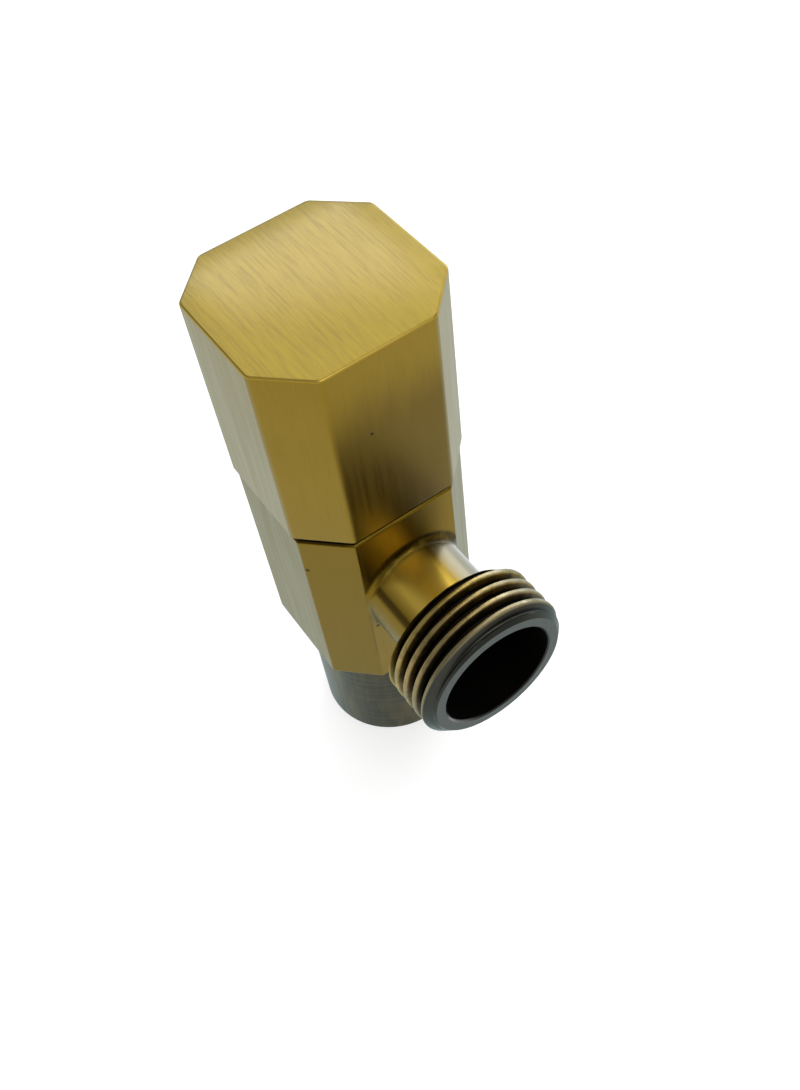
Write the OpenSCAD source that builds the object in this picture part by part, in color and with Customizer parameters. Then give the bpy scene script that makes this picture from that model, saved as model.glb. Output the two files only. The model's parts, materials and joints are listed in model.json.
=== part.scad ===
// Angle stop valve with a quarter-turn ceramic headwork.
// +Z runs up the stem axis, +X is the way the water leaves, and the origin is the centre of the
// inlet spigot's end face. All sizes are in millimetres.

/* [Knob] */
// Width of the knob across opposite flats
knob_width = 25; // [24.6:0.1:26]
// How much of each knob corner is cut away, along one side
knob_corner_cut = 5.4; // [4.8:0.05:5.8]
// Height of the knob
knob_height = 27.2; // [26:0.1:30]
// Thickness of the knob's side walls
knob_wall = 1.65; // [1.2:0.05:1.7]
// Thickness of the knob's top
knob_top_wall = 2.2; // [1.6:0.1:2.6]
// Open gap between the knob and the body
knob_gap = 1; // [0.5:0.1:1.1]
// Bevel along the knob's top and bottom edges
knob_bevel = 0.5; // [0.2:0.1:0.8]

/* [Body] */
// Width of the body across opposite flats
body_width = 24.1; // [23.4:0.1:24.6]
// How much of each body corner is cut away, along one side
body_corner_cut = 5; // [4.6:0.05:5.6]
// Height of the eight-sided body
body_height = 30.9; // [30.8:0.1:31.6]
// Bevel along the body's top and bottom edges
body_bevel = 0.4; // [0.2:0.1:0.6]

/* [Inlet spigot] */
// Outer diameter of the round inlet spigot
spigot_diameter = 20.95; // [20.6:0.05:22]
// Length of the spigot below the body
spigot_length = 22.5; // [22.3:0.1:23]
// Bore of the spigot's open end
inlet_bore_diameter = 15.8; // [15.6:0.1:16.4]
// Depth of the bore up to the strainer's ledge
inlet_bore_depth = 12; // [11.5:0.1:13]
// Bevel on the spigot's outer end edge
spigot_bevel = 0.5; // [0.3:0.1:0.8]

/* [Outlet] */
// Height of the outlet's axis above the spigot's end face
outlet_height = 40; // [39.6:0.1:40.4]
// Distance from the stem axis to the outlet's end face
outlet_reach = 29.8; // [29.5:0.1:31]
// Diameter of the plain neck behind the thread
neck_diameter = 13.8; // [13:0.1:14.4]
// Radius of the blend between the neck and the body
neck_blend = 1; // [0.6:0.1:1.6]
// Major diameter of the outlet thread, G 1/2
thread_diameter = 20.955; // [20.8:0.005:21]
// Pitch of the outlet thread, 14 turns to the inch
thread_pitch = 1.814; // [1.8:0.002:1.82]
// Depth of the outlet thread
thread_depth = 1.05; // [0.9:0.05:1.1]
// Bore of the threaded end
outlet_bore_diameter = 15.3; // [15:0.1:15.8]
// Depth of the wide bore in the threaded end
outlet_bore_depth = 7.5; // [6:0.1:8]
// Bore of the passage from the chamber to the outlet
passage_diameter = 10; // [8:0.1:10.4]

/* [Turning] */
// How far the knob turns from closed to open, in degrees
stroke = 90; // [80:1:90]

/* [Hidden] */
$fn = 96;
ahead = 0.01;                    // how far a cutting shape runs past the face that it opens
slip = 0.05;                     // clearance between pieces that are pushed together by hand
running_gap = 0.02;              // gap between faces that slide on each other
whole = 200;                     // longer than the object, for cuts that run right across

// Levels along the stem axis
body_bottom = spigot_length;
body_top = body_bottom + body_height;
knob_bottom = body_top + knob_gap;
knob_top = knob_bottom + knob_height;
cavity_top = knob_top - knob_top_wall;

// Chamber in the body
seat_level = outlet_height - 13.4;
seat_port_r = 5.5;
chamber_r = 8.6;
mouth_r = 9;
mouth_bottom = body_top - 6.5;

// Headwork housing
sleeve_r = 8.1;
sleeve_bore_r = 7.2;
sleeve_bottom = seat_level + 0.6;
window_height = 6.8;
window_width = 9;
barrel_bottom = outlet_height + window_height / 2 + 0.2;
barrel_bore_r = 5;
housing_groove_r = 7;
housing_groove_width = 1.8;
housing_o_ring_r = 7.8;
housing_o_ring_wire_r = 0.78;
housing_groove_level = mouth_bottom - 1.3;
flange_r = 10.2;
flange_top = body_top + 1.5;
hex_flats = 17;
hex_top = flange_top + 4.5;
collar_r = 7;
collar_top = hex_top + 3.5;
journal_r = 4;
ledge_level = hex_top - 2;

// Stops for the quarter turn, on top of the housing's collar
tab_start = 45;                  // where the washer's tab points when the valve is closed
tab_half_angle = 12;
stop_play = 0.5;
stop_wall_r = 5.9;
stop_wall_height = 1.1;

// Stem
barrel_r = barrel_bore_r - slip;
barrel_top = ledge_level - 0.5;
stem_waist_r = 3.4;
tongue_length = 11.6;
tongue_width = 2.95;
tongue_height = 2.6;
o_ring_groove_r = 3.75;
o_ring_groove_width = 1.6;
o_ring_levels = [barrel_top - 4.6, barrel_top - 8.4];
stem_o_ring_r = 4.37;
stem_o_ring_wire_r = 0.61;
thrust_washer_thickness = 0.46;
washer_thickness = 0.9;
flats_width = 6.4;
clip_groove_r = 3.3;
clip_r = 5.6;
clip_thickness = 0.8;
clip_opening = 50;               // degrees
clip_level = collar_top + washer_thickness + 0.1;
spline_teeth = 20;
spline_tip_r = journal_r - 0.1;
spline_foot_r = spline_tip_r - 0.4;
insert_bottom = clip_level + clip_thickness + 1.2;
screw_level = insert_bottom + 3.5;
screw_groove_r = 3.4;
screw_groove_width = 4.2;
spline_bottom = screw_level + 3;
stem_top = cavity_top - 0.6;

// Ceramic discs and the seal under them
seal_height = 3.2;
fixed_bottom = seat_level + seal_height;
fixed_top = fixed_bottom + 2.8;
rotating_bottom = fixed_top + running_gap;
rotating_top = rotating_bottom + 2.78;
rotating_disc_r = 7;
disc_slot_length = 12;
disc_slot_depth = 1.3;
port_inner_r = 1.6;
port_outer_r = 5.3;
port_half_angle = 40;
lug_width = 3;
lug_reach = 7.9;

// Set screw, M4
screw_r = 2;
screw_socket_flats = 2;
screw_socket_depth = 2.2;
screw_recess = 0.25;

// Strainer
strainer_level = inlet_bore_depth - 1;
frame_bore_r = 6.2;
mesh_r = 6.9;
mesh_thickness = 0.4;
mesh_hole_r = 0.45;
mesh_spacing = 1.35;
clip_wire_r = 0.45;
clip_ring_r = 7.75;
clip_ring_level = strainer_level - 0.55;
clip_slot_r = 8.3;
clip_slot_width = 1;
clip_ring_opening = 44;          // degrees

// Outlet thread; the bevels of its two ends cut the first and the last crest short
thread_r = thread_diameter / 2;
root_r = thread_r - thread_depth;
crest_flat = 0.5;
root_flat = 0.35;
crest_count = 6;
last_crest = outlet_reach + 0.19;
first_crest = last_crest - (crest_count - 1) * thread_pitch;
end_face_r = 9.2;
end_bevel_slope = 1.1;           // how fast the end bevel widens, radius over length
shoulder_start = first_crest - 0.52;
shoulder_slope = 2.9;            // the same for the shoulder behind the thread

// The corner cut that keeps a wall even when an octagon is drawn in by a given distance
function inner_cut(cut, wall) = cut - wall * (2 - sqrt(2));

// Points of a square with its corners cut off
function octagon_points(width, cut) =
    let (h = width / 2, k = width / 2 - cut)
    [[h, -k], [h, k], [k, h], [-k, h], [-h, k], [-h, -k], [-k, -h], [k, -h]];

// Points of a ring of pointed teeth
function star_points(teeth, tip_r, foot_r) =
    [for (i = [0 : 2 * teeth - 1])
        let (a = i * 180 / teeth, r = i % 2 == 0 ? tip_r : foot_r) [r * cos(a), r * sin(a)]];

module octagon_block(width, cut, height) {
    linear_extrude(height) polygon(octagon_points(width, cut));
}

// An octagon block whose two end faces have bevelled edges
module bevelled_block(width, cut, height, bevel) {
    hull() {
        translate([0, 0, bevel]) octagon_block(width, cut, height - 2 * bevel);
        octagon_block(width - 2 * bevel, inner_cut(cut, bevel), height);
    }
}

module tube(outer_r, inner_r, height) {
    difference() {
        cylinder(r = outer_r, h = height);
        translate([0, 0, -ahead]) cylinder(r = inner_r, h = height + 2 * ahead);
    }
}

// A round ring of wire, open over a given angle
module wire_ring(ring_r, wire_r, open_angle = 0) {
    rotate([0, 0, open_angle / 2])
        rotate_extrude(angle = 360 - open_angle) translate([ring_r, 0]) circle(r = wire_r, $fn = 48);
}

// A flat wedge that covers angles from one bearing to another
module wedge(from_angle, to_angle, reach) {
    steps = 8;
    turn = (to_angle - from_angle) / steps;
    outer = reach / cos(turn / 2);
    arc = [for (i = [0 : steps]) outer * [cos(from_angle + i * turn), sin(from_angle + i * turn)]];
    polygon(concat([[0, 0]], arc));
}

// The two opposite water ports of a ceramic disc
module disc_ports(direction) {
    for (side = [0, 180])
        linear_extrude(whole, center = true)
            difference() {
                intersection() {
                    circle(r = port_outer_r);
                    rotate(direction + side) wedge(-port_half_angle, port_half_angle, whole);
                }
                circle(r = port_inner_r);
            }
}

// Outlines on the outlet's half section: radius against distance from the stem axis
function blend_points(face, r, blend) =
    [for (a = [270 : -15 : 180]) [r + blend + blend * cos(a), face + blend + blend * sin(a)]];
function thread_points(first, count) =
    let (flank = (thread_pitch - crest_flat - root_flat) / 2)
    [for (i = [0 : count - 1], p = [
        [root_r, -crest_flat / 2 - flank], [thread_r, -crest_flat / 2],
        [thread_r, crest_flat / 2], [root_r, crest_flat / 2 + flank]
    ]) [p[0], p[1] + first + i * thread_pitch]];

module neck_section() {
    face = body_width / 2;
    neck_r = neck_diameter / 2;
    polygon(concat(
        [[0, face - 3], [neck_r + neck_blend, face - 3]],
        blend_points(face, neck_r, neck_blend),
        [[neck_r, shoulder_start + 1], [0, shoulder_start + 1]]
    ));
}

module thread_section() {
    neck_r = neck_diameter / 2;
    rise = thread_r + 1 - neck_r;
    end_rise = thread_r + 1 - end_face_r;
    intersection() {
        polygon(concat([[0, shoulder_start - 1], [root_r, shoulder_start - 1]],
                       thread_points(first_crest, crest_count),
                       [[root_r, outlet_reach + thread_pitch], [0, outlet_reach + thread_pitch]]));
        polygon([
            [0, shoulder_start], [neck_r, shoulder_start],
            [neck_r + rise, shoulder_start + rise / shoulder_slope],
            [end_face_r + end_rise, outlet_reach - end_rise / end_bevel_slope],
            [end_face_r, outlet_reach], [0, outlet_reach]
        ]);
    }
}

module outlet_stub() {
    translate([0, 0, outlet_height])
        rotate([0, 90, 0])
            rotate_extrude()
                union() {
                    neck_section();
                    thread_section();
                }
}

module inlet_spigot() {
    r = spigot_diameter / 2;
    cylinder(r1 = r - spigot_bevel, r2 = r, h = spigot_bevel);
    translate([0, 0, spigot_bevel]) cylinder(r = r, h = spigot_length);
}

module body_hollows() {
    // inlet bore, with the slot for the strainer's clip
    translate([0, 0, -ahead]) cylinder(d = inlet_bore_diameter, h = inlet_bore_depth + ahead);
    translate([0, 0, clip_ring_level - clip_slot_width / 2])
        cylinder(r = clip_slot_r, h = clip_slot_width);
    // port, chamber and mouth
    cylinder(r = seat_port_r, h = seat_level + ahead);
    translate([0, 0, seat_level]) cylinder(r = chamber_r, h = body_height);
    translate([0, 0, mouth_bottom]) cylinder(r = mouth_r, h = body_height);
    // passage and bore of the outlet
    translate([0, 0, outlet_height]) rotate([0, 90, 0]) {
        cylinder(d = passage_diameter, h = outlet_reach);
        translate([0, 0, outlet_reach - outlet_bore_depth])
            cylinder(d = outlet_bore_diameter, h = outlet_bore_depth + ahead);
    }
}

module valve_body() {
    color("darkgoldenrod")
        difference() {
            union() {
                translate([0, 0, body_bottom])
                    bevelled_block(body_width, body_corner_cut, body_height, body_bevel);
                inlet_spigot();
                outlet_stub();
            }
            body_hollows();
        }
}

module housing_outside() {
    translate([0, 0, sleeve_bottom]) cylinder(r = sleeve_r, h = mouth_bottom - sleeve_bottom + 1);
    translate([0, 0, mouth_bottom + 0.1]) cylinder(r = mouth_r - slip, h = body_top - mouth_bottom);
    translate([0, 0, body_top]) cylinder(r = flange_r, h = flange_top - body_top);
    translate([0, 0, flange_top])
        cylinder(r = hex_flats / 2 / cos(30), h = hex_top - flange_top, $fn = 6);
    translate([0, 0, hex_top]) cylinder(r = collar_r, h = collar_top - hex_top);
    // raised wall that the stop washer's tab runs against
    translate([0, 0, collar_top])
        linear_extrude(stop_wall_height)
            difference() {
                circle(r = collar_r);
                circle(r = stop_wall_r);
                wedge(tab_start - tab_half_angle - stop_play,
                      tab_start + tab_half_angle + stop_play + stroke, whole);
            }
}

module cartridge_housing() {
    color("goldenrod")
        difference() {
            housing_outside();
            translate([0, 0, sleeve_bottom - ahead])
                cylinder(r = sleeve_bore_r, h = barrel_bottom - sleeve_bottom + ahead);
            cylinder(r = barrel_bore_r, h = ledge_level);
            cylinder(r = journal_r + slip, h = whole);
            translate([0, 0, housing_groove_level - housing_groove_width / 2])
                tube(whole / 2, housing_groove_r, housing_groove_width);
            // windows towards and away from the outlet
            translate([0, 0, outlet_height])
                cube([4 * sleeve_r, window_width, window_height], center = true);
            // slots that keep the fixed disc from turning
            translate([-lug_width / 2 - slip, -whole / 2, sleeve_bottom - ahead])
                cube([lug_width + 2 * slip, whole, fixed_top - sleeve_bottom + slip]);
        }
}

module housing_o_ring() {
    color("dimgray")
        translate([0, 0, housing_groove_level])
            wire_ring(housing_o_ring_r, housing_o_ring_wire_r);
}

// Lower end of the stem: a flat tongue that sits in the rotating disc's slot
module stem_tongue() {
    intersection() {
        translate([-tongue_length / 2, -tongue_width / 2, 0])
            cube([tongue_length, tongue_width, tongue_height]);
        cylinder(r = tongue_length / 2, h = tongue_height);
    }
}

module stem() {
    tongue_bottom = rotating_top - disc_slot_depth + 0.1;
    color("darkkhaki")
        difference() {
            union() {
                translate([0, 0, tongue_bottom]) stem_tongue();
                translate([0, 0, tongue_bottom + 1.6])
                    cylinder(r = stem_waist_r, h = barrel_bottom - tongue_bottom);
                translate([0, 0, barrel_bottom]) cylinder(r = barrel_r, h = barrel_top - barrel_bottom);
                translate([0, 0, barrel_top]) cylinder(r = journal_r, h = spline_bottom - barrel_top);
                translate([0, 0, spline_bottom])
                    linear_extrude(stem_top - spline_bottom)
                        polygon(star_points(spline_teeth, spline_tip_r, spline_foot_r));
            }
            for (level = o_ring_levels)
                translate([0, 0, level - o_ring_groove_width / 2])
                    tube(barrel_bore_r + 1, o_ring_groove_r, o_ring_groove_width);
            // flats that carry the stop washer
            for (side = [0, 180])
                rotate([0, 0, side])
                    translate([flats_width / 2, -journal_r, collar_top])
                        cube([journal_r, 2 * journal_r, washer_thickness + 0.1]);
            translate([0, 0, clip_level]) tube(journal_r + 1, clip_groove_r, clip_thickness + 0.1);
            translate([0, 0, screw_level - screw_groove_width / 2])
                tube(journal_r + 1, screw_groove_r, screw_groove_width);
        }
}

module stem_o_ring(level) {
    translate([0, 0, level]) wire_ring(stem_o_ring_r, stem_o_ring_wire_r);
}

module stem_o_ring_upper() {
    color("dimgray") stem_o_ring(o_ring_levels[0]);
}

module stem_o_ring_lower() {
    color("dimgray") stem_o_ring(o_ring_levels[1]);
}

module stem_thrust_washer() {
    color("ivory")
        translate([0, 0, barrel_top + running_gap])
            tube(barrel_r, journal_r + slip, thrust_washer_thickness);
}

module stop_washer() {
    color("silver")
        translate([0, 0, collar_top + running_gap])
            linear_extrude(washer_thickness)
                difference() {
                    union() {
                        circle(r = stop_wall_r - 0.2);
                        intersection() {
                            circle(r = collar_r - 0.1);
                            wedge(tab_start - tab_half_angle, tab_start + tab_half_angle, whole);
                        }
                    }
                    intersection() {
                        circle(r = journal_r + slip);
                        square([flats_width + 2 * slip, whole], center = true);
                    }
                }
}

module stem_clip() {
    color("silver")
        translate([0, 0, clip_level + slip])
            linear_extrude(clip_thickness)
                difference() {
                    circle(r = clip_r);
                    circle(r = clip_groove_r + slip);
                    rotate(180) wedge(-clip_opening / 2, clip_opening / 2, whole);
                }
}

module rotating_disc() {
    color("snow")
        translate([0, 0, rotating_bottom])
            difference() {
                cylinder(r = rotating_disc_r, h = rotating_top - rotating_bottom);
                disc_ports(90);
                translate([-disc_slot_length / 2, -tongue_width / 2 - slip,
                           rotating_top - rotating_bottom - disc_slot_depth])
                    cube([disc_slot_length, tongue_width + 2 * slip, disc_slot_depth + ahead]);
            }
}

module fixed_disc() {
    color("whitesmoke")
        translate([0, 0, fixed_bottom])
            difference() {
                union() {
                    cylinder(r = sleeve_bore_r - slip, h = fixed_top - fixed_bottom);
                    intersection() {
                        cylinder(r = lug_reach, h = fixed_top - fixed_bottom);
                        translate([-lug_width / 2, -whole / 2, 0])
                            cube([lug_width, whole, fixed_top - fixed_bottom]);
                    }
                }
                disc_ports(0);
            }
}

module seat_seal() {
    inside = seat_port_r + 0.1;
    outside = sleeve_bore_r - 0.1;
    middle = (inside + outside) / 2;
    groove = 0.4;
    color("black")
        translate([0, 0, seat_level])
            rotate_extrude()
                polygon([
                    [inside, 0], [middle - groove, 0], [middle, groove], [middle + groove, 0],
                    [outside, 0], [outside, seal_height], [middle + groove, seal_height],
                    [middle, seal_height - groove], [middle - groove, seal_height],
                    [inside, seal_height]
                ]);
}

module seal_support_ring() {
    color("gainsboro")
        translate([0, 0, seat_level + 0.3]) tube(seat_port_r + slip, seat_port_r - 0.3, seal_height - 0.5);
}

module knob_shell() {
    cavity_width = knob_width - 2 * knob_wall;
    color("darkgoldenrod")
        difference() {
            translate([0, 0, knob_bottom])
                bevelled_block(knob_width, knob_corner_cut, knob_height, knob_bevel);
            translate([0, 0, knob_bottom - ahead])
                octagon_block(cavity_width, inner_cut(knob_corner_cut, knob_wall),
                              cavity_top - knob_bottom + ahead);
            // way in for the set screw, at the back
            translate([-knob_width, 0, screw_level])
                rotate([0, 90, 0]) cylinder(r = screw_r + slip, h = knob_width);
        }
}

module knob_insert() {
    outside = knob_width - 2 * knob_wall - 2 * slip;
    cut = inner_cut(knob_corner_cut, knob_wall + slip);
    rim = 1.3;
    web = 1.2;
    hub_r = 6.4;
    boss_r = 3.2;
    height = cavity_top - slip - insert_bottom;
    rib = 1.6;
    color("dimgray")
        translate([0, 0, insert_bottom])
            difference() {
                union() {
                    difference() {
                        octagon_block(outside, cut, height);
                        translate([0, 0, -ahead])
                            octagon_block(outside - 2 * rim, inner_cut(cut, rim), height - web);
                    }
                    cylinder(r = hub_r, h = height);
                    intersection() {
                        octagon_block(outside, cut, height);
                        for (turn = [0, 90])
                            rotate([0, 0, turn])
                                translate([-whole / 2, -rib / 2, 0]) cube([whole, rib, height]);
                    }
                    // boss around the set screw
                    translate([-outside / 2 + rim / 2, 0, screw_level - insert_bottom])
                        rotate([0, 90, 0]) cylinder(r = boss_r, h = outside / 2 - rim);
                }
                translate([0, 0, -ahead])
                    cylinder(r = journal_r + 2 * slip, h = spline_bottom - insert_bottom);
                linear_extrude(whole)
                    polygon(star_points(spline_teeth, spline_tip_r + slip, spline_foot_r + slip));
                translate([-outside, 0, screw_level - insert_bottom])
                    rotate([0, 90, 0]) cylinder(r = screw_r + slip, h = outside);
            }
}

module knob_set_screw() {
    length = knob_width / 2 - screw_recess - screw_groove_r - slip;
    tip = 0.8;
    color("darkslategray")
        translate([-knob_width / 2 + screw_recess, 0, screw_level])
            rotate([0, 90, 0])
                difference() {
                    union() {
                        cylinder(r = screw_r, h = length - tip);
                        translate([0, 0, length - tip]) cylinder(r1 = screw_r, r2 = screw_r - tip, h = tip);
                    }
                    translate([0, 0, -ahead])
                        cylinder(r = screw_socket_flats / 2 / cos(30), h = screw_socket_depth, $fn = 6);
                }
}

module knob_glide_ring() {
    height = 1.6;
    color("linen")
        translate([0, 0, flange_top])
            tube(knob_width / 2 - knob_wall - 0.1, hex_flats / 2 / cos(30) + slip, height);
}

module strainer_frame() {
    height = inlet_bore_depth - strainer_level;
    color("ivory")
        translate([0, 0, strainer_level])
            difference() {
                tube(inlet_bore_diameter / 2 - slip, frame_bore_r, height);
                translate([0, 0, (height - mesh_thickness) / 2 - slip])
                    cylinder(r = mesh_r + slip, h = mesh_thickness + 2 * slip);
            }
}

module strainer_mesh() {
    reach = ceil(frame_bore_r / mesh_spacing);
    middle = (strainer_level + inlet_bore_depth) / 2;
    color("lightgray")
        translate([0, 0, middle])
            difference() {
                cylinder(r = mesh_r, h = mesh_thickness, center = true);
                for (i = [-reach : reach], j = [-reach : reach])
                    if (norm([i, j]) * mesh_spacing + mesh_hole_r < frame_bore_r - 0.1)
                        translate([i, j, 0] * mesh_spacing)
                            cylinder(r = mesh_hole_r, h = 1, center = true, $fn = 24);
            }
}

module strainer_clip() {
    color("silver")
        translate([0, 0, clip_ring_level]) wire_ring(clip_ring_r, clip_wire_r, clip_ring_opening);
}

valve_body();
cartridge_housing();
housing_o_ring();
stem();
stem_o_ring_upper();
stem_o_ring_lower();
stem_thrust_washer();
stop_washer();
stem_clip();
rotating_disc();
fixed_disc();
seat_seal();
seal_support_ring();
knob_shell();
knob_insert();
knob_set_screw();
knob_glide_ring();
strainer_frame();
strainer_mesh();
strainer_clip();
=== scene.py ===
import json
import math

import bmesh
import bpy
from mathutils import Matrix, Vector


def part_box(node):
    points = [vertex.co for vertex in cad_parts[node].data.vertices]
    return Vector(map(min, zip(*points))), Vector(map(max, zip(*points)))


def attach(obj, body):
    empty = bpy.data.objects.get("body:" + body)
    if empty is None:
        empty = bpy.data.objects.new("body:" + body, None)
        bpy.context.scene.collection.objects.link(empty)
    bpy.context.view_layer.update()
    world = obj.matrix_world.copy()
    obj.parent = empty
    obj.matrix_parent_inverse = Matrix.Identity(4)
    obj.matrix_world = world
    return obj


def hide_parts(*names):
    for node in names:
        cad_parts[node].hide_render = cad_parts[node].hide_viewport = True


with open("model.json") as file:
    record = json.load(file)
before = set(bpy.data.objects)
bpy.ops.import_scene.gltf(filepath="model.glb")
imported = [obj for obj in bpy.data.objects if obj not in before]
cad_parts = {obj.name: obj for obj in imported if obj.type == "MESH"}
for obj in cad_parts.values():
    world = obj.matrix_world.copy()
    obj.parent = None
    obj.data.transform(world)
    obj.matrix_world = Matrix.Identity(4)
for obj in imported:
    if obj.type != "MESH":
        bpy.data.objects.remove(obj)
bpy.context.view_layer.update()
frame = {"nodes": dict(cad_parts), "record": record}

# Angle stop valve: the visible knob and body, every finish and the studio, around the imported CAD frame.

MM = 0.001

# ---------------------------------------------------------------- sizes, from the frame where it has them

MOUNTS = {mount["name"]: mount for mount in frame["record"]["mounts"]}


def mount_radius(name):
    return MOUNTS[name]["dims"]["r_mm"] * MM


def mount_length(name):
    return MOUNTS[name]["dims"]["length_mm"] * MM


body_low, body_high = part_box("valve_body")
knob_low, knob_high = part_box("knob_shell")
screw_low, screw_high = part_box("knob_set_screw")
clip_low, clip_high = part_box("strainer_clip")

KNOB_HALF = knob_high.y
KNOB_CUT = 5.4 * MM              # how much of each corner is cut away, along one side
KNOB_WALL = 1.65 * MM
KNOB_TOP_WALL = 2.2 * MM
KNOB_EDGE = 1.3 * MM             # rounding of the knob's upright edges
KNOB_TOP_EDGE = 0.3 * MM         # rounding around its top
KNOB_LOW_EDGE = 0.3 * MM         # rounding around its mouth
KNOB_LIP = 0.2 * MM              # bevel inside its mouth
KNOB_CROWN = 0.2 * MM            # how far the top falls off towards its rim
KNOB_CROWN_POWER = 6             # how late it falls off
SCREW_Z = (screw_low.z + screw_high.z) / 2
SCREW_HOLE_R = screw_high.y + 0.05 * MM
SCREW_HOLE_BEVEL = 0.3 * MM

BODY_HALF = body_high.y
BODY_CUT = 5.0 * MM
BODY_EDGE = 0.45 * MM            # rounding of all the body's edges
BODY_TOP = body_high.z
BODY_BOTTOM = MOUNTS["inlet_spigot"]["pos_m"][2] + mount_length("inlet_spigot") / 2
SPIGOT_R = mount_radius("inlet_spigot")

OUTLET_Z = MOUNTS["outlet_thread"]["pos_m"][2]
REACH = body_high.x
NECK_R = 6.9 * MM
NECK_BLEND = 1.0 * MM            # radius of the fillet around the neck's foot
THREAD_R = mount_radius("outlet_thread")
THREAD_DEPTH = 1.05 * MM
PITCH = 1.814 * MM               # G 1/2, 14 turns to the inch
TURNS = 6
CREST_PAST_END = 0.19 * MM       # the last crest would lie just past the end face
FIRST_CREST = REACH + CREST_PAST_END - (TURNS - 1) * PITCH
SHOULDER_START = FIRST_CREST - 0.52 * MM
SHOULDER_SLOPE = 2.9             # how fast the shoulder widens, radius over length
END_FACE_R = 9.2 * MM
END_SLOPE = 1.1                  # the same for the bevel at the end face
END_BEVEL = 1.15 * MM            # that bevel's length
OUTLET_BORE_R = mount_radius("outlet_bore")
OUTLET_BORE_DEPTH = mount_length("outlet_bore")
PASSAGE_R = 5.0 * MM

INLET_BORE_R = mount_radius("inlet_bore")
INLET_BORE_DEPTH = 12.0 * MM
CLIP_SLOT_R = 8.3 * MM
CLIP_SLOT_WIDTH = 1.0 * MM
PORT_R = 5.5 * MM
SEAT_Z = OUTLET_Z - 13.4 * MM
CHAMBER_R = 8.6 * MM
MOUTH_R = 9.0 * MM
MOUTH_Z = BODY_TOP - 6.5 * MM

# ---------------------------------------------------------------- camera, floor and light

CAMERA_AZIMUTH = 62.57           # 0 looks along +Y, 90 along -X
CAMERA_ELEVATION = 53.66
CAMERA_ROLL = -9.35
CAMERA_DISTANCE = 152.12 * MM    # along the view, from the point where the two axes meet
CAMERA_ASIDE = (5.144 * MM, -3.097 * MM)
CAMERA_LENS = 37.47


def view_axes(azimuth, elevation, roll):
    """Right, up and back of a camera that looks at the valve from a bearing and a height."""
    a, e = math.radians(azimuth), math.radians(elevation)
    back = Vector((math.sin(a) * math.cos(e), -math.cos(a) * math.cos(e), math.sin(e)))
    right = Vector((0, 0, 1)).cross(back).normalized()
    turn = Matrix.Rotation(math.radians(roll), 3, back)
    return turn @ right, turn @ back.cross(right), back


def make_camera():
    right, up, back = view_axes(CAMERA_AZIMUTH, CAMERA_ELEVATION, CAMERA_ROLL)
    data = bpy.data.cameras.new("camera")
    data.lens = CAMERA_LENS
    data.sensor_width = 36
    data.clip_start = 0.01
    data.clip_end = 20
    camera = bpy.data.objects.new("camera", data)
    bpy.context.scene.collection.objects.link(camera)
    aim = Vector((0, 0, OUTLET_Z))
    place = aim + right * CAMERA_ASIDE[0] + up * CAMERA_ASIDE[1] + back * CAMERA_DISTANCE
    camera.matrix_world = Matrix.Translation(place) @ Matrix((right, up, back)).transposed().to_4x4()
    bpy.context.scene.camera = camera


def make_softbox(name, direction, distance, size, strength):
    """A square, white, soft light that faces the outlet's axis; its energy grows with its area."""
    data = bpy.data.lights.new(name, "AREA")
    data.size = size
    data.energy = strength * math.pi * size * size
    lamp = bpy.data.objects.new(name, data)
    bpy.context.scene.collection.objects.link(lamp)
    direction = Vector(direction).normalized()
    lamp.location = Vector((0, 0, OUTLET_Z)) + direction * distance
    lamp.rotation_mode = "QUATERNION"
    lamp.rotation_quaternion = direction.to_track_quat("Z", "Y")


def make_studio():
    world = bpy.data.worlds.new("studio")
    bpy.context.scene.world = world
    world.use_nodes = True
    world.node_tree.nodes["Background"].inputs["Color"].default_value = (1.0, 1.0, 1.0, 1)
    world.node_tree.nodes["Background"].inputs["Strength"].default_value = 0.5
    make_softbox("overhead_softbox", (-0.55, 0.35, 0.85), distance=1.5, size=1.5, strength=2.0)
    make_softbox("front_softbox", (0.50, 0.05, 0.86), distance=1.5, size=0.9, strength=2.6)
    make_softbox("side_softbox", (-0.50, 0.85, 0.25), distance=1.2, size=0.9, strength=2.6)
    bpy.context.scene.view_settings.view_transform = "Standard"


# ---------------------------------------------------------------- mesh helpers

AXIS_Z = Matrix.Identity(4)
ALONG_X = Matrix(((0, 0, 1, 0), (1, 0, 0, 0), (0, 1, 0, 0), (0, 0, 0, 1)))
AXIS_OUTLET = Matrix.Translation((0, 0, OUTLET_Z)) @ ALONG_X
AXIS_SCREW = Matrix.Translation((-KNOB_HALF, 0, SCREW_Z)) @ ALONG_X


def make_object(name, bm):
    mesh = bpy.data.meshes.new(name)
    bm.to_mesh(mesh)
    bm.free()
    obj = bpy.data.objects.new(name, mesh)
    bpy.context.scene.collection.objects.link(obj)
    return obj


def loft(name, loops):
    """A capped solid through loops of points that all have the same number of points."""
    bm = bmesh.new()
    rings = [[bm.verts.new(point) for point in loop] for loop in loops]
    for low, high in zip(rings, rings[1:]):
        for i in range(len(low)):
            j = (i + 1) % len(low)
            bm.faces.new((low[i], low[j], high[j], high[i]))
    bm.faces.new(rings[0])
    bm.faces.new(rings[-1])
    bmesh.ops.remove_doubles(bm, verts=bm.verts, dist=1e-7)
    bmesh.ops.dissolve_degenerate(bm, edges=bm.edges, dist=1e-7)
    bmesh.ops.recalc_face_normals(bm, faces=bm.faces)
    return make_object(name, bm)


def revolve(name, profile, axis, steps=192):
    """A solid of revolution from (distance along the axis, radius) pairs."""
    turns = [2 * math.pi * i / steps for i in range(steps)]
    loops = [[axis @ Vector((r * math.cos(a), r * math.sin(a), along)) for a in turns]
             for along, r in profile]
    return loft(name, loops)


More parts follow.
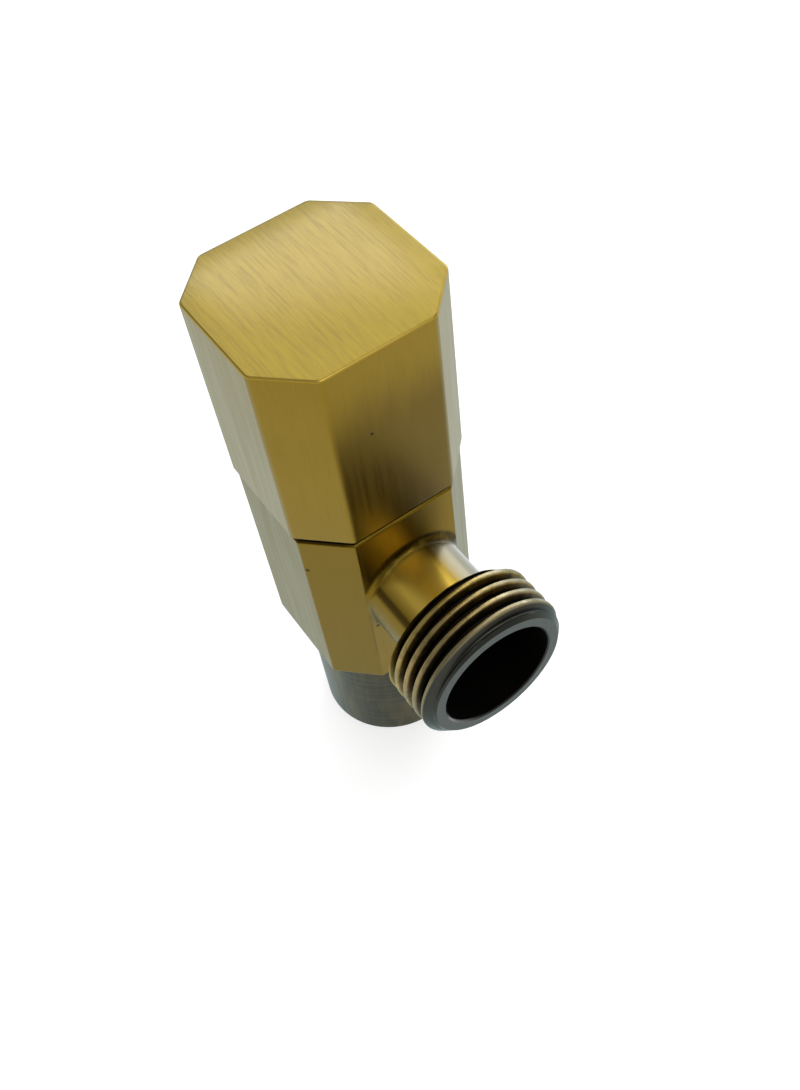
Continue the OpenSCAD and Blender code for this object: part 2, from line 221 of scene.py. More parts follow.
def arc(start, end, steps):
    """Angles from start to end, in degrees, both included."""
    return [math.radians(start + (end - start) * i / steps) for i in range(steps + 1)]


def octagon_loop(half, cut, rounding, inset=0.0, flat_steps=8, arc_steps=5):
    """Points (x, y) of a square with cut corners and rounded edges, drawn in by a distance."""
    least_rounding = 0.12 * MM
    offsets = (half - inset, (2 * half - cut) / math.sqrt(2) - inset)
    rounding = max(rounding - inset, least_rounding)
    corners = []
    for k in range(8):
        a = math.radians(45 * k)
        b = a + math.radians(45)
        near, far = offsets[k % 2] - rounding, offsets[(k + 1) % 2] - rounding
        scale = 1 / math.sin(b - a)
        centre_x = (near * math.sin(b) - far * math.sin(a)) * scale
        centre_y = (far * math.cos(a) - near * math.cos(b)) * scale
        corners.append([(centre_x + rounding * math.cos(t), centre_y + rounding * math.sin(t))
                        for t in arc(45 * k, 45 * k + 45, arc_steps)])
    points = []
    for corner, following in zip(corners, corners[1:] + corners[:1]):
        points += corner
        (x0, y0), (x1, y1) = corner[-1], following[0]
        points += [(x0 + (x1 - x0) * i / flat_steps, y0 + (y1 - y0) * i / flat_steps)
                   for i in range(1, flat_steps)]
    return points


def cut_or_join(obj, *steps):
    """Cuts tools out of an object or joins them to it, then removes the tools."""
    for operation, tool in steps:
        modifier = obj.modifiers.new("step", "BOOLEAN")
        modifier.solver = "EXACT"
        modifier.operation = operation
        modifier.object = tool
    graph = bpy.context.evaluated_depsgraph_get()
    mesh = bpy.data.meshes.new_from_object(obj.evaluated_get(graph))
    obj.modifiers.clear()
    obj.data = mesh
    for operation, tool in steps:
        bpy.data.objects.remove(tool)


def smooth(obj, angle=28):
    """Smooth shading with sharp edges kept, and flat faces kept flat."""
    mesh = obj.data
    bm = bmesh.new()
    bm.from_mesh(mesh)
    bmesh.ops.remove_doubles(bm, verts=bm.verts, dist=2e-6)
    bmesh.ops.dissolve_degenerate(bm, edges=bm.edges, dist=1e-6)
    bm.to_mesh(mesh)
    bm.free()
    mesh.shade_smooth()
    mesh.set_sharp_from_angle(angle=math.radians(angle))
    weighted = obj.modifiers.new("weighted normals", "WEIGHTED_NORMAL")
    weighted.keep_sharp = True


# ---------------------------------------------------------------- knob

def screw_hole():
    past = 1 * MM
    return revolve("screw_hole", [
        (-past, SCREW_HOLE_R + SCREW_HOLE_BEVEL + past), (SCREW_HOLE_BEVEL, SCREW_HOLE_R),
        (KNOB_WALL + 0.5 * MM, SCREW_HOLE_R)], AXIS_SCREW, 64)


def make_knob():
    bottom, top = knob_low.z, knob_high.z
    ceiling = top - KNOB_TOP_WALL
    top_rings = (0.02, 0.25, 0.5, 0.65, 0.75, 0.82, 0.88, 0.92, 0.95, 0.975)

    def crown(x, y):
        corner_offset = (2 * KNOB_HALF - KNOB_CUT) / math.sqrt(2)
        outward = max(abs(x) / KNOB_HALF, abs(y) / KNOB_HALF,
                      (abs(x) + abs(y)) / math.sqrt(2) / corner_offset)
        return top - KNOB_CROWN * outward ** KNOB_CROWN_POWER

    def level_loop(inset, z, scale=1.0):
        points = octagon_loop(KNOB_HALF, KNOB_CUT, KNOB_EDGE, inset)
        return [Vector((x * scale, y * scale, z)) for x, y in points]

    def crowned_loop(inset, drop=0.0, scale=1.0):
        points = [(x * scale, y * scale) for x, y in octagon_loop(KNOB_HALF, KNOB_CUT, KNOB_EDGE, inset)]
        return [Vector((x, y, crown(x, y) - drop)) for x, y in points]

    # from the middle of the top outwards, down the sides, around the mouth and up inside;
    # the sides start a little below the lowest point of the crowned rim
    loops = [crowned_loop(KNOB_TOP_EDGE, scale=scale) for scale in top_rings]
    loops += [crowned_loop(KNOB_TOP_EDGE * (1 - math.cos(a)), drop=KNOB_TOP_EDGE * (1 - math.sin(a)))
              for a in arc(90, 0, 8)]
    side_top = top - KNOB_CROWN * 1.3 - KNOB_TOP_EDGE - 0.4 * MM
    side_low = bottom + KNOB_LOW_EDGE
    side_steps = 10
    loops += [level_loop(0, side_top + (side_low - side_top) * i / side_steps) for i in range(side_steps)]
    loops += [level_loop(KNOB_LOW_EDGE * (1 - math.cos(a)), bottom + KNOB_LOW_EDGE * (1 - math.sin(a)))
              for a in arc(0, 90, 4)]
    loops += [level_loop(KNOB_WALL - KNOB_LIP, bottom), level_loop(KNOB_WALL, bottom + KNOB_LIP),
              level_loop(KNOB_WALL, ceiling), level_loop(KNOB_WALL, ceiling, scale=0.5)]
    knob = loft("knob_casting", loops)
    cut_or_join(knob, ("DIFFERENCE", screw_hole()))
    smooth(knob)
    return knob


# ---------------------------------------------------------------- body

def edge_rows(start, end):
    """(inset, depth) pairs around a body edge, between two angles of its rounding."""
    return [(BODY_EDGE * (1 - math.cos(a)), BODY_EDGE * (1 - math.sin(a))) for a in arc(start, end, 5)]


def block_solid():
    def loop(inset, z):
        return [Vector((x, y, z)) for x, y in octagon_loop(BODY_HALF, BODY_CUT, BODY_EDGE, inset)]

    loops = [loop(inset, BODY_BOTTOM + depth) for inset, depth in edge_rows(90, 0)]
    loops += [loop(inset, BODY_TOP - depth) for inset, depth in edge_rows(0, 90)]
    return loft("block", loops)


def spigot_solid():
    into_block = 2 * MM
    profile = [(depth, SPIGOT_R - inset) for inset, depth in edge_rows(90, 0)]
    return revolve("spigot", profile + [(BODY_BOTTOM + into_block, SPIGOT_R)], AXIS_Z)


def fillet_centre(side):
    """Where the fillet's centre lies along X, and the angle in degrees at which it meets the block.

    `side` is how far the section leans towards the side, from 0 at the top to 1: the fillet touches the
    block's flat, its corner or the slanted face beside it.
    """
    r = NECK_R + NECK_BLEND
    half_flat = BODY_HALF - BODY_CUT
    corner_r = half_flat / max(side, 1e-6)
    if r <= corner_r:
        return BODY_HALF + NECK_BLEND, 270.0
    slant = math.degrees(math.atan(side))
    over_slant = BODY_HALF + half_flat - side * r + NECK_BLEND * math.sqrt(1 + side * side)
    over_edge = BODY_HALF + math.sqrt(max(NECK_BLEND ** 2 - (r - corner_r) ** 2, 0))
    touch = math.degrees(math.asin(min((r - corner_r) / NECK_BLEND, 1)))
    if touch < slant:
        return over_edge, 270.0 - touch
    return over_slant, 270.0 - slant


def fillet_points(side, steps=8):
    """(x, radius) pairs along the fillet, from the block to the neck."""
    sunk = 0.012 * MM
    centre_x, touch = fillet_centre(side)
    turns = [math.radians(touch + (180 - touch) * i / steps) for i in range(steps + 1)]
    return [(centre_x - sunk + NECK_BLEND * math.sin(t), NECK_R + NECK_BLEND * (1 + math.cos(t)))
            for t in turns]


def thread_rows():
    """(distance from a crest's middle, drop below the crest) over one pitch."""
    half_in_mm = [(0, 0), (0.16, 0), (0.25, 0.03), (0.32, 0.15), (0.41, 0.35), (0.5, 0.545),
                  (0.59, 0.74), (0.67, 0.9), (0.74, 1.01), (0.82, 1.045)]
    rows = [(along * MM, drop * MM) for along, drop in half_in_mm]
    back = [(PITCH - along, drop) for along, drop in reversed(rows[1:])]
    return rows + [(PITCH / 2, THREAD_DEPTH)] + back


def outlet_solid():
    """Neck with its fillet, and the threaded end with a true right-hand helix."""
    columns = 256
    neck_steps = 6
    rows = thread_rows()

    def bevelled(x, r):
        return min(r, NECK_R + SHOULDER_SLOPE * (x - SHOULDER_START), END_FACE_R + END_SLOPE * (REACH - x))

    def plain_part(angle):
        """(x, radius) from inside the block, over the fillet and along the neck."""
        into_block = [(BODY_HALF - 4 * MM, NECK_R - 1 * MM)]
        fillet = fillet_points(abs(math.cos(angle)))
        under_face = [(fillet[0][0] - 0.6 * MM, fillet[0][1] - 0.3 * MM)]
        foot_end = fillet[-1][0]
        neck = [(foot_end + (SHOULDER_START - foot_end) * i / neck_steps, NECK_R)
                for i in range(1, neck_steps)]
        return into_block + under_face + fillet + neck

    def threaded_part(turn):
        """(x, radius) along the thread, where the helix has made this part of a turn."""
        start = FIRST_CREST + PITCH * (turn - 0.25)
        points = []
        for k in range(-1, TURNS + 1):
            for along, drop in rows:
                x = min(max(start + k * PITCH + along, SHOULDER_START), REACH)
                points.append((x, bevelled(x, THREAD_R - drop)))
        return points

    bm = bmesh.new()
    grid = []
    for column in range(columns):
        angle = 2 * math.pi * column / columns
        plain = plain_part(angle)
        line = plain + threaded_part(column / columns)
        grid.append([bm.verts.new((x, r * math.cos(angle), OUTLET_Z + r * math.sin(angle))) for x, r in line])
    # after a whole turn, the helix meets the crest one pitch further on
    first, unthreaded, per_turn = grid[0], len(plain), len(rows)
    closing = first[:unthreaded] + first[unthreaded + per_turn:] + [first[-1]] * per_turn
    for here, there in zip(grid, grid[1:] + [closing]):
        for i in range(len(here) - 1):
            corners = (here[i], here[i + 1], there[i + 1], there[i])
            face = list(dict.fromkeys(corners))
            if len(face) > 2:
                bm.faces.new(face)
    bm.faces.new([line[0] for line in grid])
    bm.faces.new([line[-1] for line in grid])
    bmesh.ops.remove_doubles(bm, verts=bm.verts, dist=1e-7)
    bmesh.ops.dissolve_degenerate(bm, edges=bm.edges, dist=1e-7)
    bmesh.ops.recalc_face_normals(bm, faces=bm.faces)
    return make_object("outlet", bm)


def inner_hollow():
    """Inlet bore with the clip's slot, port, chamber and mouth."""
    past = 1 * MM
    bevel = 0.3 * MM
    clip_middle = (clip_low.z + clip_high.z) / 2
    slot_low, slot_high = clip_middle - CLIP_SLOT_WIDTH / 2, clip_middle + CLIP_SLOT_WIDTH / 2
    return revolve("inner_hollow", [
        (-past, INLET_BORE_R + bevel + past), (bevel, INLET_BORE_R),
        (slot_low, INLET_BORE_R), (slot_low, CLIP_SLOT_R),
        (slot_high, CLIP_SLOT_R), (slot_high, INLET_BORE_R),
        (INLET_BORE_DEPTH, INLET_BORE_R), (INLET_BORE_DEPTH, PORT_R),
        (SEAT_Z, PORT_R), (SEAT_Z, CHAMBER_R),
        (MOUTH_Z, CHAMBER_R), (MOUTH_Z, MOUTH_R), (BODY_TOP + past, MOUTH_R)], AXIS_Z)


def outlet_hollow():
    """Passage from the chamber, and the wide bore at the outlet's end."""
    past = 1 * MM
    bevel = 0.25 * MM
    passage_start = 2 * MM
    ledge = REACH - OUTLET_BORE_DEPTH
    return revolve("outlet_hollow", [
        (passage_start, PASSAGE_R), (ledge, PASSAGE_R), (ledge, OUTLET_BORE_R),
        (REACH - bevel, OUTLET_BORE_R), (REACH + past, OUTLET_BORE_R + bevel + past)], AXIS_OUTLET)


def make_body():
    body = block_solid()
    body.name = "body_casting"
    cut_or_join(body, ("UNION", spigot_solid()), ("UNION", outlet_solid()),
                ("DIFFERENCE", inner_hollow()), ("DIFFERENCE", outlet_hollow()))
    smooth(body)
    return body


# ---------------------------------------------------------------- materials

# brushed grain: fine across, long along one axis
GRAIN_ALONG_X = (0.05, 1, 1)
GRAIN_ALONG_Z = (1, 1, 0.02)
TURNED_RINGS = (0.02, 0.02, 1)
GRAIN_DEPTH = 0.02 * MM

# brass, and its tint where it is seen edge-on
BRASS = (0.21, 0.142, 0.016)
BRASS_DARK = (0.15, 0.094, 0.008)
BRASS_LIGHT = (0.27, 0.195, 0.045)
# painted highlight colour, for the knob's top rim and the top of the neck
BRASS_PAINTED_HIGHLIGHT = (0.50, 0.34, 0.055)
# dark brown: tarnish and painted shade in the neck's fillet, painted shade along the body's top edge, and the
# body's small marks
BRASS_PATINA_AND_SHADE = (0.045, 0.028, 0.004)
EDGE_ON = (0.74, 0.86, 0.86)
EDGE_ON_KNOB = (0.80, 0.93, 0.98)
# black: painted shade in the bores, around the stem and in the thread's roots; also the knob's small mark
BLACK_SHADE_AND_MARK = (0.006, 0.005, 0.004)

KNOB_WARMTH = (0.52, 0.34, 0.05)
# painted dark reflection low on the knob's side above the outlet
KNOB_DARK_REFLECTION = (0.10, 0.062, 0.008)
TOP_GOLD = (0.205, 0.148, 0.014)
# painted pale highlight on the knob's top
TOP_PAINTED_SHEEN = (0.258, 0.188, 0.030)
TOP_COARSE_STREAK = (0.15, 0.098, 0.018)
TOP_FINE_STREAK = (0.12, 0.08, 0.01)

# warmer, lighter brass for the outlet's face: partly wear, partly painted light
BODY_WARMTH_AND_LIGHT = (0.42, 0.25, 0.02)
SPIGOT_GREY = (0.050, 0.044, 0.028)
SPIGOT_BROWN = (0.11, 0.082, 0.036)
SPIGOT_RING = (0.09, 0.086, 0.062)
# painted highlight on the neck's top
NECK_PAINTED_HIGHLIGHT = (0.66, 0.46, 0.075)
NECK_DARK_LINE = (0.05, 0.028, 0.002)
# greyer right side of the neck, painting its highlight whitish under the coat
NECK_SHEEN_GREY = (0.15, 0.125, 0.06)

THREAD_OLIVE, THREAD_OLIVE_DARK = (0.27, 0.19, 0.025), (0.05, 0.034, 0.006)
THREAD_BROWN, THREAD_BROWN_DARK = (0.19, 0.13, 0.045), (0.035, 0.018, 0.009)
# painted silver highlight on the thread's right side
THREAD_SILVER_HIGHLIGHT, THREAD_SILVER_HIGHLIGHT_DARK = (0.20, 0.205, 0.19), (0.05, 0.045, 0.04)
# painted shade on the flanks and painted highlight on the crests
THREAD_FLANK_SHADE = (0.02, 0.012, 0.006)
THREAD_CREST_HIGHLIGHT = (0.62, 0.50, 0.22)
THREAD_LAST = (0.05, 0.05, 0.042)
END_BEVEL_GREY = (0.04, 0.04, 0.034)
END_FACE_GREY = (0.072, 0.070, 0.064)

# small dark marks in the finish
KNOB_MARK = (KNOB_HALF, -2.48 * MM, 70.5 * MM)
BODY_MARKS = ((BODY_HALF, -6.2 * MM, 35.2 * MM), (7.3 * MM, -11.8 * MM, 47.6 * MM))


class Finish:
    """A node material under construction; values are numbers, colours or sockets."""

    def __init__(self, name):
        self.material = bpy.data.materials.new(name)
        self.material.use_nodes = True
        self.tree = self.material.node_tree
        self.shader = self.tree.nodes["Principled BSDF"]

    def node(self, kind, values=None, **settings):
        made = self.tree.nodes.new(kind)
        for key, value in settings.items():
            setattr(made, key, value)
        for key, value in (values or {}).items():
            self.put(made.inputs[key], value)
        return made

    def put(self, socket, value):
        if isinstance(value, bpy.types.NodeSocket):
            self.tree.links.new(value, socket)
        elif isinstance(value, tuple) and len(value) == 3 and socket.type == "RGBA":
            socket.default_value = (*value, 1)
        else:
            socket.default_value = value

    def set(self, **values):
        """Sets the shader's inputs, named in lower case with underscores."""
        for key, value in values.items():
            self.put(self.shader.inputs[key.replace("_", " ").title()], value)

    def place(self):
        return self.node("ShaderNodeTexCoord").outputs["Object"]

    def normal(self):
        return self.node("ShaderNodeTexCoord").outputs["Normal"]

    def axes(self, vector):
        parts = self.node("ShaderNodeSeparateXYZ", {"Vector": vector})
        return parts.outputs["X"], parts.outputs["Y"], parts.outputs["Z"]

    def math(self, operation, a, b=0.0):
        return self.node("ShaderNodeMath", {0: a, 1: b}, operation=operation).outputs[0]

    def product(self, first, *others):
        for other in others:
            first = self.math("MULTIPLY", first, other)
        return first

    def distance(self, a, b):
        """Distance from an axis, from the two coordinates across it."""
        return self.math("SQRT", self.math("ADD", self.product(a, a), self.product(b, b)))

    def noise(self, scale, detail=3.0, rough=0.55, stretch=(1, 1, 1)):
        mapped = self.node("ShaderNodeMapping", {"Vector": self.place(), "Scale": stretch})
        made = self.node("ShaderNodeTexNoise", {"Vector": mapped.outputs[0], "Scale": scale,
                                                "Detail": detail, "Roughness": rough})
        return made.outputs["Fac"]

    def step(self, value, low, high, bottom=0.0, top=1.0):
        """Goes smoothly from bottom to top as value goes from low to high."""
        made = self.node("ShaderNodeMapRange", {"Value": value, "From Min": low, "From Max": high,
                                                "To Min": bottom, "To Max": top},
                         interpolation_type="SMOOTHSTEP")
        return made.outputs["Result"]

    def mix(self, factor, a, b):
        """Mixes two colours."""
        made = self.tree.nodes.new("ShaderNodeMix")
        made.data_type = "RGBA"
        self.put(made.inputs[0], factor)
        self.put(made.inputs[6], a)
        self.put(made.inputs[7], b)
        return made.outputs[2]

    def blend(self, factor, a, b):
        """Mixes two numbers."""
        made = self.tree.nodes.new("ShaderNodeMix")
        made.data_type = "FLOAT"
        self.put(made.inputs[0], factor)
        self.put(made.inputs[2], a)
        self.put(made.inputs[3], b)
        return made.outputs[0]

    def spot(self, centre, radius):
        """A small round mark with a soft edge."""
        away = self.node("ShaderNodeVectorMath", {0: self.place(), 1: centre}, operation="DISTANCE")
        return self.step(away.outputs["Value"], radius, radius * 0.4)

    def bump(self, height, strength, depth=GRAIN_DEPTH):
        values = {"Height": height, "Strength": strength, "Distance": depth}
        return self.node("ShaderNodeBump", values).outputs[0]


def brushed_grain(finish, upright, level):
    """Grain that runs along `upright` on the sides and along `level` on faces that look up or down."""
    facing = finish.math("ABSOLUTE", finish.axes(finish.normal())[2])
    on_top = finish.step(facing, 0.6, 0.8)
    fine = finish.blend(on_top, finish.noise(9000, 2.0, 0.6, upright), finish.noise(9000, 2.0, 0.6, level))
    coarse = finish.blend(on_top, finish.noise(2600, 3.0, 0.6, upright),
                          finish.noise(3600, 3.0, 0.65, level))
    return fine, coarse


def brushed_roughness(finish, coarse):
    return finish.step(coarse, 0.3, 0.7, 0.3, 0.38)


def brass_colour(finish, fine, coarse):
    cloud = finish.noise(70, 3.0, 0.6)
    colour = finish.mix(finish.step(cloud, 0.3, 0.75, 0.0, 0.25), BRASS, BRASS_DARK)
    colour = finish.mix(finish.step(coarse, 0.45, 0.8, 0.0, 0.2), colour, BRASS_LIGHT)
    return finish.mix(finish.step(fine, 0.5, 0.25, 0.0, 0.3), colour, BRASS_DARK)


# the knob's finish

def knob_side_colour(finish, fine, coarse):
    """Brushed brass, with a painted dark reflection low on the side above the outlet, except its low left
    corner.
    """
    x, y, z = finish.axes(finish.place())
    out_x, out_y, out_z = finish.axes(finish.normal())
    brass = finish.mix(0.06, brass_colour(finish, fine, coarse), KNOB_WARMTH)
    streaks = finish.math("SUBTRACT", finish.noise(500, 3.0, 0.6, (1, 1, 0.12)), 0.5)
    streaked_z = finish.math("ADD", z, finish.product(streaks, 8 * MM))
    low = finish.step(streaked_z, knob_high.z - 2 * MM, knob_high.z - 12 * MM, 0.0, 0.75)
    low_corner = finish.product(finish.step(z, knob_low.z + 11 * MM, knob_low.z + 2 * MM),
                                finish.step(y, 3 * MM, -5 * MM))
    above_outlet = finish.step(out_x, 0.8, 1.0)
    # painted dark reflection, low on the side above the outlet
    painted_dark_reflection = finish.product(above_outlet, low, finish.math("SUBTRACT", 1.0, low_corner))
    return finish.mix(painted_dark_reflection, brass, KNOB_DARK_REFLECTION)


def knob_top_colour(finish, fine, coarse, pale):
    """Brushed brass with a painted pale highlight, more golden around the highlight."""
    # painted pale highlight
    colour = finish.mix(pale, TOP_GOLD, TOP_PAINTED_SHEEN)
    colour = finish.mix(finish.step(coarse, 0.4, 0.8, 0.0, 0.55), colour, TOP_COARSE_STREAK)
    return finish.mix(finish.step(fine, 0.55, 0.2, 0.0, 0.3), colour, TOP_FINE_STREAK)


def painted_sheen_area(finish):
    """How strong the painted pale highlight on the knob's top is: most towards the back, least at its rim."""
    x, y, z = finish.axes(finish.place())
    rim = finish.math("MAXIMUM", finish.math("ABSOLUTE", x), finish.math("ABSOLUTE", y))
    forward = finish.math("SUBTRACT", x, finish.product(y, 0.5))
    return finish.product(finish.step(forward, 11 * MM, -6 * MM),
                          finish.step(rim, KNOB_HALF, KNOB_HALF - 5 * MM))


def knob_finish():
    finish = Finish("knob_brass")
    out_x, out_y, out_z = finish.axes(finish.normal())
    fine, coarse = brushed_grain(finish, GRAIN_ALONG_Z, GRAIN_ALONG_X)
    pale = painted_sheen_area(finish)
    on_top = finish.step(out_z, 0.6, 0.9)
    # painted highlight along the rounding around the knob's top
    painted_rim_highlight = finish.product(finish.step(out_z, 0.15, 0.4), finish.step(out_z, 0.95, 0.75))
    colour = finish.mix(on_top, knob_side_colour(finish, fine, coarse),
                        knob_top_colour(finish, fine, coarse, pale))
    # mixes in the painted rim highlight
    colour = finish.mix(finish.product(painted_rim_highlight, 0.8), colour, BRASS_PAINTED_HIGHLIGHT)
    colour = finish.mix(finish.spot(KNOB_MARK, 0.25 * MM), colour, BLACK_SHADE_AND_MARK)
    finish.set(base_color=colour, metallic=1.0, specular_tint=EDGE_ON_KNOB,
               coat_weight=finish.product(on_top, finish.step(pale, 0.0, 1.0, 0.3, 0.75)),
               coat_roughness=0.2, roughness=brushed_roughness(finish, coarse),
               normal=finish.bump(fine, finish.blend(on_top, 0.15, 0.4)))
    return finish.material


# the body's finish

def block_colour(finish, fine, coarse):
    """Darker brushed brass; warmer and lighter on the outlet's face, partly its own wear and partly painted
    light; painted shade along its top edge, under the knob.
    """
    x, y, z = finish.axes(finish.place())
    out_x, out_y, out_z = finish.axes(finish.normal())
    brass = finish.mix(0.5, brass_colour(finish, fine, coarse), BRASS_DARK)
    # outlet's face warmer and lighter: partly the brass's wear, partly painted light
    brass = finish.mix(finish.step(out_x, 0.8, 1.0), brass, finish.mix(0.1, brass, BODY_WARMTH_AND_LIGHT))
    # painted shade along the top edge, in the gap under the knob
    painted_gap_shade = finish.product(finish.step(z, BODY_TOP - 0.4 * MM, BODY_TOP - 0.15 * MM),
                         finish.step(x, BODY_HALF - 0.2 * MM, BODY_HALF - 1.2 * MM, 0.3, 0.95))
    return finish.mix(painted_gap_shade, brass, BRASS_PATINA_AND_SHADE)


def spigot_colour(finish, rings):
    """Dark, with brown patches that run up and down and fine turned rings."""
    patches = finish.noise(260, 4.0, 0.6, (1, 1, 0.25))
    colour = finish.mix(finish.step(patches, 0.45, 0.75), SPIGOT_GREY, SPIGOT_BROWN)
    return finish.mix(finish.step(rings, 0.4, 0.7, 0.0, 0.5), colour, SPIGOT_RING)


def neck_colour(finish, colour, on_neck, on_right):
    """Painted highlights on top, with a dark lengthwise line on the left and a greyer right side that paints
    a whitish sheen under the coat.
    """
    out_x, out_y, out_z = finish.axes(finish.normal())
    # painted highlights on the neck's top, by the way it faces
    top_highlight = finish.product(finish.step(out_y, 0.3, 0.1), finish.step(out_z, 0.62, 0.85), on_neck)
    colour = finish.mix(top_highlight, colour, BRASS_PAINTED_HIGHLIGHT)
    strongest_highlight = finish.product(finish.step(out_y, -0.15, -0.4), finish.step(out_y, -0.66, -0.5), top_highlight)
    colour = finish.mix(strongest_highlight, colour, NECK_PAINTED_HIGHLIGHT)
    dark_line = finish.product(finish.step(out_y, -0.90, -0.84), finish.step(out_y, -0.74, -0.80),
                          finish.step(out_z, 0.0, 0.2), on_neck)
    colour = finish.mix(dark_line, colour, NECK_DARK_LINE)
    # greyer right side: painted whitish sheen
    return finish.mix(on_right, colour, NECK_SHEEN_GREY)


def foot_tarnish_and_shade(finish, from_axis):
    """Dark tarnish and painted shade in the fillet around the neck's foot: in patches, and thin at its low
    left.
    """
    x, y, z = finish.axes(finish.place())
    in_fillet = finish.product(finish.step(x, BODY_HALF + 1.3 * MM, BODY_HALF + 0.3 * MM),
                               finish.step(from_axis, NECK_R + 1.6 * MM, NECK_R + 0.9 * MM),
                               finish.math("GREATER_THAN", x, BODY_HALF - 0.05 * MM))
    patches = finish.step(finish.noise(700, 3.0), 0.2, 0.6, 0.5, 1.0)
    away_from_left = finish.step(finish.math("ADD", z, y), OUTLET_Z - 2 * MM, OUTLET_Z + 5 * MM, 0.12, 1.0)
    return finish.product(in_fillet, patches, away_from_left)


def thread_colour(finish, from_axis):
    """Painted highlights on the crests, painted shade on the flanks, and black roots that are partly painted
    shade and partly dark tarnish; olive near the neck, then brown, then grey at the end.
    """
    x, y, z = finish.axes(finish.place())
    out_x, out_y, out_z = finish.axes(finish.normal())
    mottle = finish.noise(650, 5.0, 0.7)
    olive = finish.mix(finish.step(mottle, 0.42, 0.75), THREAD_OLIVE, THREAD_OLIVE_DARK)
    brown = finish.mix(finish.step(mottle, 0.4, 0.7), THREAD_BROWN, THREAD_BROWN_DARK)
    silver_highlight = finish.mix(finish.step(mottle, 0.35, 0.65), THREAD_SILVER_HIGHLIGHT, THREAD_SILVER_HIGHLIGHT_DARK)
    worn = finish.mix(finish.step(x, FIRST_CREST + 0.5 * PITCH, FIRST_CREST + 2.5 * PITCH), olive, brown)
    worn = finish.mix(finish.step(x, REACH - 2.2 * PITCH, REACH - 0.8 * PITCH), worn, THREAD_LAST)
    # painted silver highlight where the crests face right and up
    rightward = finish.math("ADD", out_y, finish.product(out_z, 0.5))
    worn = finish.mix(finish.step(rightward, 0.6, 0.95), worn, silver_highlight)
    # painted highlight on the crests, painted shade on the flanks and black in the roots
    on_crest = finish.step(from_axis, THREAD_R - 0.35 * MM, THREAD_R - 0.04 * MM)
    above_root = finish.step(from_axis, THREAD_R - 0.95 * MM, THREAD_R - 0.6 * MM)
    colour = finish.mix(on_crest, finish.mix(0.55, worn, THREAD_FLANK_SHADE), finish.mix(0.25, worn, THREAD_CREST_HIGHLIGHT))
    colour = finish.mix(above_root, BLACK_SHADE_AND_MARK, colour)
    bevel_start = REACH - END_BEVEL
    on_bevel = finish.step(x, bevel_start - 0.1 * MM, bevel_start + 0.1 * MM)
    colour = finish.mix(on_bevel, colour, END_BEVEL_GREY)
    return finish.mix(finish.step(out_x, 0.9, 0.97), colour, END_FACE_GREY)


def hollow_area(finish, from_axis):
    """Where black painted shade goes: 1 inside the outlet and around the stem, 0 on the outside."""
    x, y, z = finish.axes(finish.place())
    in_bore = finish.step(x, SHOULDER_START, SHOULDER_START + 0.1 * MM)
    wall = finish.math("ADD", finish.blend(in_bore, PASSAGE_R, OUTLET_BORE_R), 0.1 * MM)
    in_outlet = finish.product(finish.math("LESS_THAN", from_axis, wall),
                               finish.math("GREATER_THAN", x, BODY_HALF - 3 * MM))
    around_stem = finish.math("LESS_THAN", finish.distance(x, y), MOUTH_R + 0.05 * MM)
    return finish.math("MAXIMUM", in_outlet, around_stem)


def body_finish():
    finish = Finish("body_brass")
    x, y, z = finish.axes(finish.place())
    out_x, out_y, out_z = finish.axes(finish.normal())
    from_axis = finish.distance(y, finish.math("SUBTRACT", z, OUTLET_Z))
    fine, coarse = brushed_grain(finish, GRAIN_ALONG_Z, GRAIN_ALONG_X)
    rings = finish.noise(2600, 2.0, 0.6, TURNED_RINGS)
    on_spigot = finish.step(z, BODY_BOTTOM + 0.1 * MM, BODY_BOTTOM - 0.1 * MM)
    on_neck = finish.product(finish.step(x, BODY_HALF + 0.2 * MM, BODY_HALF + 1.1 * MM),
                             finish.math("LESS_THAN", from_axis, NECK_R + 1.2 * MM))
    on_right = finish.product(finish.step(out_y, 0.2, 0.5), on_neck)
    on_thread = finish.step(x, FIRST_CREST + 0.4 * MM, FIRST_CREST + 0.6 * MM)
    hollow = hollow_area(finish, from_axis)
    colour = finish.mix(on_spigot, block_colour(finish, fine, coarse), spigot_colour(finish, rings))
    colour = neck_colour(finish, colour, on_neck, on_right)
    # tarnish and painted shade in the fillet around the neck's foot
    colour = finish.mix(foot_tarnish_and_shade(finish, from_axis), colour, BRASS_PATINA_AND_SHADE)
    colour = finish.mix(on_thread, colour, thread_colour(finish, from_axis))
    # painted shade: black inside the outlet and around the stem
    colour = finish.mix(hollow, colour, BLACK_SHADE_AND_MARK)
    for centre in BODY_MARKS:
        colour = finish.mix(finish.spot(centre, 0.4 * MM), colour, BRASS_PATINA_AND_SHADE)
    finish.set(base_color=colour, metallic=1.0, specular_tint=EDGE_ON,
               coat_weight=on_right, coat_roughness=0.25,
               roughness=finish.blend(hollow, brushed_roughness(finish, coarse), 0.7),
               normal=finish.bump(finish.blend(on_spigot, fine, rings), finish.blend(on_spigot, 0.15, 0.5)))
    return finish.material


# the other finishes

def plain_finish(name, colour, other, metallic, roughness):
    """A finish with small, soft changes of colour and gloss."""
    finish = Finish(name)
    cloud = finish.noise(900, 4.0, 0.6)
    finish.set(base_color=finish.mix(finish.step(cloud, 0.35, 0.65), colour, other), metallic=metallic,
               roughness=finish.step(cloud, 0.3, 0.7, roughness, roughness + 0.12),
               normal=finish.bump(cloud, 0.2))
    return finish.material


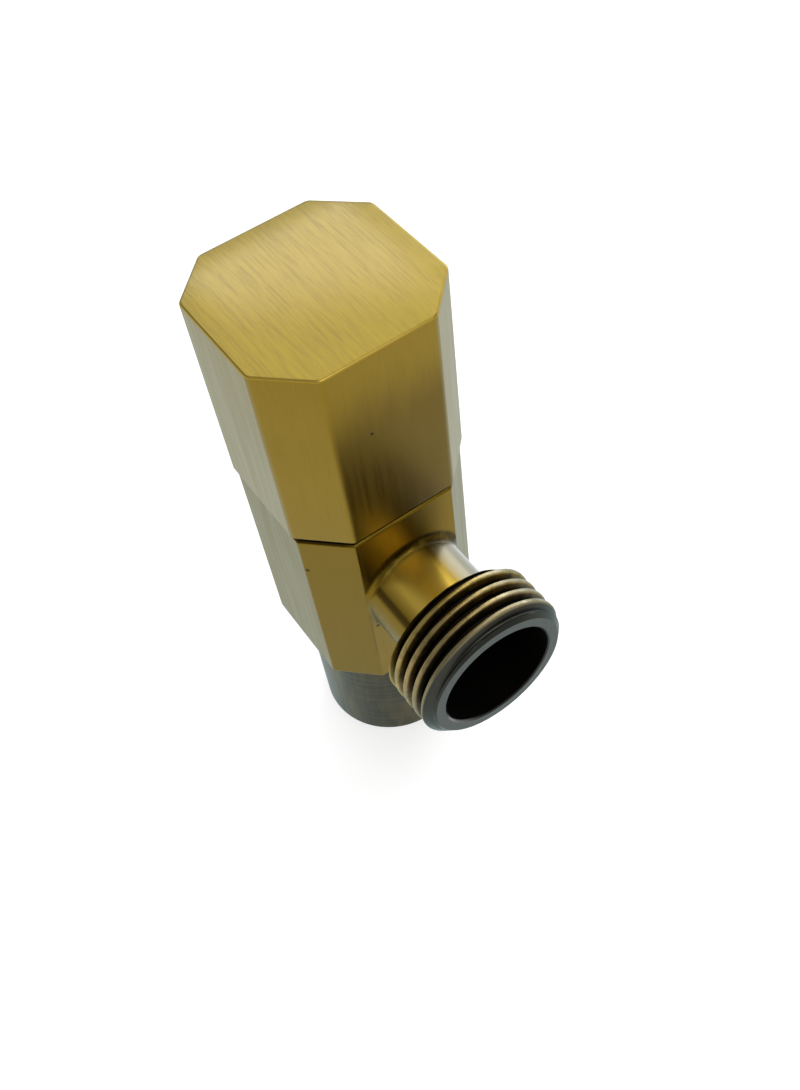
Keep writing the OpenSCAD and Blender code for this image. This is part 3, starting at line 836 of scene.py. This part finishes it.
def floor_finish():
    """Pale grey that glows a little, so that it comes out white around the valve."""
    finish = Finish("floor")
    cloud = finish.noise(8, 2.0)
    finish.set(base_color=finish.mix(cloud, (0.46, 0.46, 0.46), (0.48, 0.48, 0.48)), roughness=0.9,
               emission_color=(1.0, 1.0, 1.0), emission_strength=0.66)
    return finish.material


def make_floor():
    half_side = 4
    bm = bmesh.new()
    bmesh.ops.create_grid(bm, x_segments=1, y_segments=1, size=half_side)
    floor = make_object("floor", bm)
    floor.data.materials.append(floor_finish())


# colour, the colour it varies towards, metallic and roughness, by the record's material slots
CARRIED_LOOKS = {
    "headwork_brass": ((0.42, 0.30, 0.10), (0.36, 0.25, 0.08), 1.0, 0.3),
    "stem_brass": ((0.48, 0.36, 0.14), (0.42, 0.30, 0.11), 1.0, 0.26),
    "black_rubber": ((0.012, 0.012, 0.013), (0.02, 0.02, 0.02), 0.0, 0.5),
    "ptfe": ((0.80, 0.79, 0.75), (0.86, 0.85, 0.82), 0.0, 0.42),
    "stainless": ((0.50, 0.50, 0.49), (0.58, 0.58, 0.57), 1.0, 0.25),
    "ceramic_white": ((0.80, 0.80, 0.78), (0.84, 0.84, 0.82), 0.0, 0.15),
    "ceramic_grey": ((0.48, 0.48, 0.47), (0.54, 0.54, 0.53), 0.0, 0.15),
    "insert_plastic": ((0.02, 0.02, 0.022), (0.03, 0.03, 0.032), 0.0, 0.4),
    "black_steel": ((0.03, 0.03, 0.034), (0.05, 0.05, 0.054), 1.0, 0.35),
    "white_plastic": ((0.70, 0.69, 0.64), (0.76, 0.75, 0.70), 0.0, 0.38),
}


def dress_carried_nodes():
    """Gives every CAD node that stays visible the finish of its material slot."""
    materials = {name: plain_finish(name, *look) for name, look in CARRIED_LOOKS.items()}
    for subpart in frame["record"]["subparts"]:
        if subpart["material_slot"] in materials:
            mesh = frame["nodes"][subpart["node"]].data
            mesh.materials.clear()
            mesh.materials.append(materials[subpart["material_slot"]])


# ---------------------------------------------------------------- the scene

make_camera()
make_studio()
make_floor()

knob = make_knob()
knob.data.materials.append(knob_finish())
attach(knob, "knob")
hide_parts("knob_shell")

body = make_body()
body.data.materials.append(body_finish())
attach(body, "valve")
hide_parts("valve_body")

dress_carried_nodes()
